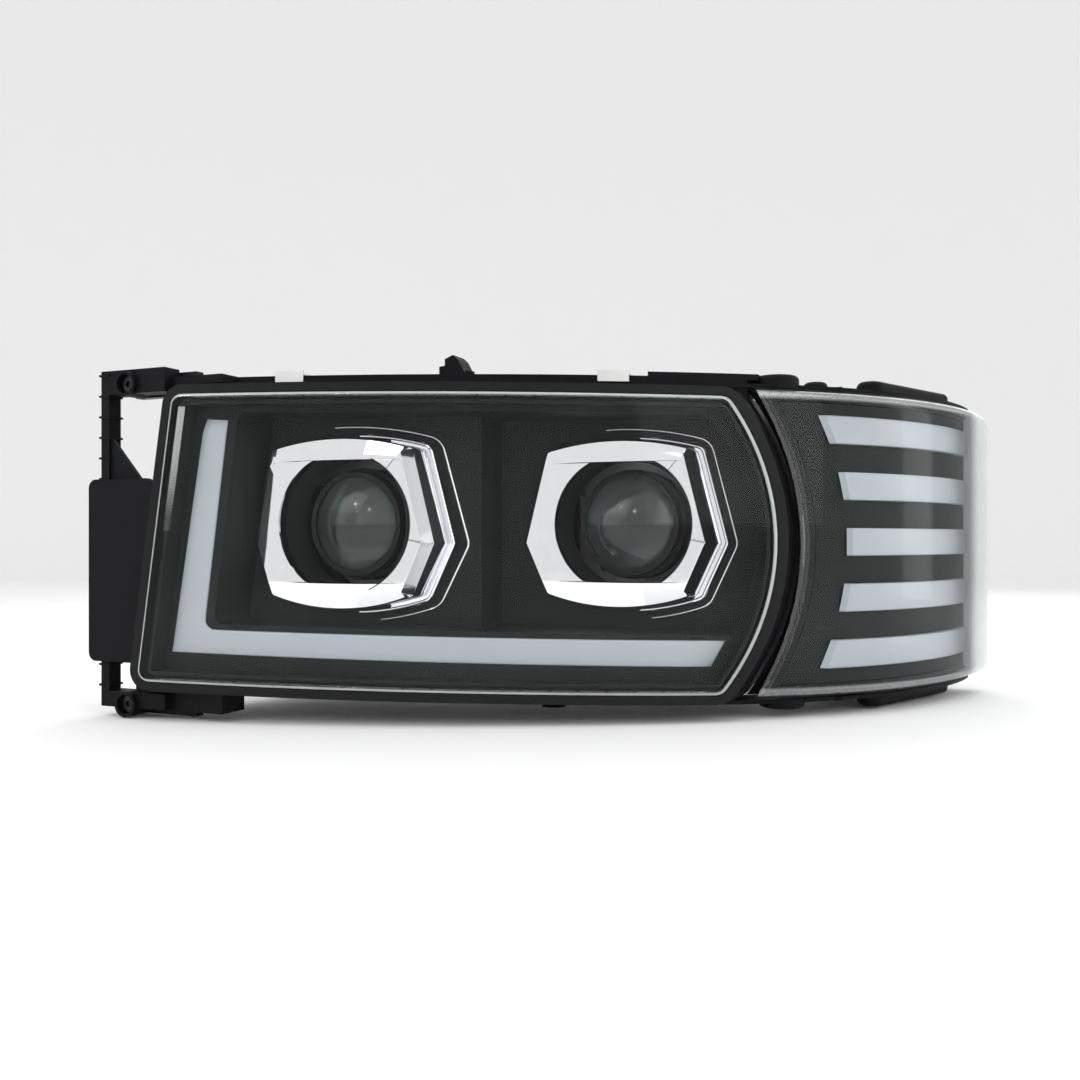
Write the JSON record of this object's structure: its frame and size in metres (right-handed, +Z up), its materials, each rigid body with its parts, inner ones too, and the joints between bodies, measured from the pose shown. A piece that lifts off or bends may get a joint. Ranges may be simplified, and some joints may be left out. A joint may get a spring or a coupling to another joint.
{
  "type": "car headlight assembly",
  "caption": "Left-hand headlamp with projectors behind a swept clear lens, an L-shaped daytime guide and a wrap-round corner lamp on one mounting frame.",
  "frame": {"origin": "middle of the two inner mounting bolt holes, on the frame's rear face there", "axes": "+X runs outboard along the lamp, -Y is the way the beam goes, +Z is up"},
  "size_m": [0.6455, 0.434, 0.275],
  "materials": {
    "frame_plastic": "satin black moulded, fine grain",
    "housing_plastic": "black moulded, semi-gloss lip",
    "clear_lens": "clear hard-coated polycarbonate",
    "seal_rubber": "matt",
    "bezel_black": "satin black",
    "shroud_chrome": "vacuum-metallised, bright",
    "light_guide": "milky diffuser",
    "circuit_board": "solder mask",
    "led_chip": "phosphor",
    "projector_glass": "clear",
    "die_cast": "die cast, satin",
    "mirror_coat": "mirror",
    "heat_sink_alu": "extruded",
    "fan_plastic": "black",
    "screw_steel": "black zinc",
    "clip_steel": "bright spring steel",
    "motor_plastic": "glass-filled nylon",
    "adjuster_plastic": "natural acetal",
    "pin_brass": "plain",
    "side_reflector": "satin pale grey"
  },
  "bodies": {
    "lamp": {"mounting_frame": "frame_plastic", "locating_horn": "frame_plastic", "frame_screws": "screw_steel", "main_housing": "housing_plastic", "main_lens": "clear_lens", "main_lens_seal": "seal_rubber", "inner_bezel": "bezel_black", "bezel_trims": "shroud_chrome", "lens_masks": "bezel_black", "drl_light_guide": "light_guide", "drl_led_board": "circuit_board", "drl_leds": "led_chip", "lens_clips": "clip_steel", "corner_housing": "housing_plastic", "corner_lens": "clear_lens", "corner_lens_seal": "seal_rubber", "corner_bezel": "bezel_black", "corner_light_bars": "light_guide", "corner_led_board": "circuit_board", "corner_leds": "led_chip", "corner_side_reflector": "side_reflector", "corner_socket": "motor_plastic", "pivot_fork": "die_cast", "leveller_motor": "motor_plastic", "yaw_adjuster_case": "motor_plastic", "connector_socket": "motor_plastic", "connector_pins": "pin_brass", "breather_vents": "seal_rubber", "driver_module": "die_cast", "module_screws": "screw_steel", "shroud_inner": "shroud_chrome", "shroud_outer": "shroud_chrome"},
    "gimbal": {"pivot_block": "die_cast"},
    "carrier": {"carrier_plate": "die_cast", "carrier_screws": "screw_steel", "projector_lens_inner": "projector_glass", "lens_retainer_inner": "bezel_black", "projector_barrel_inner": "die_cast", "reflector_inner": "mirror_coat", "led_board_inner": "circuit_board", "heat_sink_inner": "heat_sink_alu", "fan_frame_inner": "fan_plastic", "projector_lens_outer": "projector_glass", "lens_retainer_outer": "bezel_black", "projector_barrel_outer": "die_cast", "reflector_outer": "mirror_coat", "led_board_outer": "circuit_board", "heat_sink_outer": "heat_sink_alu", "fan_frame_outer": "fan_plastic"},
    "leveller": {"leveller_rod": "adjuster_plastic"},
    "yaw_screw": {"yaw_rod": "adjuster_plastic"},
    "fan_inner": {"fan_rotor_inner": "fan_plastic"},
    "shutter_inner": {"cut_off_shutter_inner": "screw_steel"},
    "cap_inner": {"rear_cap_inner": "housing_plastic", "rear_cap_seal_inner": "seal_rubber"},
    "fan_outer": {"fan_rotor_outer": "fan_plastic"},
    "shutter_outer": {"cut_off_shutter_outer": "screw_steel"},
    "cap_outer": {"rear_cap_outer": "housing_plastic", "rear_cap_seal_outer": "seal_rubber"}
  },
  "joints": [
    {"name": "aim_pitch", "type": "hinge", "parent": "lamp", "child": "gimbal", "pos_m": [0.251, 0.165, 0.062], "axis": [1, 0, 0], "range_deg": [-2.5, 2.5]},
    {"name": "aim_yaw", "type": "hinge", "parent": "gimbal", "child": "carrier", "pos_m": [0.251, 0.165, 0.062], "axis": [0, 0, 1], "range_deg": [-2.5, 2.5]},
    {"name": "leveller_slide", "type": "slide", "parent": "lamp", "child": "leveller", "axis": [0, 1, 0], "range_m": [-0.006, 0.006]},
    {"name": "yaw_screw_slide", "type": "slide", "parent": "lamp", "child": "yaw_screw", "axis": [0, 1, 0], "range_m": [-0.0078, 0.0078]},
    {"name": "fan_spin_inner", "type": "hinge", "parent": "carrier", "child": "fan_inner", "pos_m": [0.1559, 0.1434, 0.0095], "axis": [0, 1, 0], "continuous": true},
    {"name": "shutter_flip_inner", "type": "hinge", "parent": "carrier", "child": "shutter_inner", "pos_m": [0.1559, 0.0956, -0.008], "axis": [1, 0, 0], "range_deg": [0, 22], "stiffness_Nm_per_rad": 0.02, "springref_deg": -8.59},
    {"name": "cap_pull_inner", "type": "slide", "parent": "lamp", "child": "cap_inner", "axis": [0, 1, 0], "range_m": [0, 0.045]},
    {"name": "fan_spin_outer", "type": "hinge", "parent": "carrier", "child": "fan_outer", "pos_m": [0.3466, 0.2428, 0.0095], "axis": [0, 1, 0], "continuous": true},
    {"name": "shutter_flip_outer", "type": "hinge", "parent": "carrier", "child": "shutter_outer", "pos_m": [0.3466, 0.195, -0.008], "axis": [1, 0, 0], "range_deg": [0, 22], "stiffness_Nm_per_rad": 0.02, "springref_deg": -8.59},
    {"name": "cap_pull_outer", "type": "slide", "parent": "lamp", "child": "cap_outer", "axis": [0, 1, 0], "range_m": [0, 0.045]}
  ],
  "couplings": [
    {"joint": "leveller_slide", "follows": "aim_pitch", "m_per_rad": 0.124},
    {"joint": "yaw_screw_slide", "follows": "aim_yaw", "m_per_rad": -0.163}
  ]
}
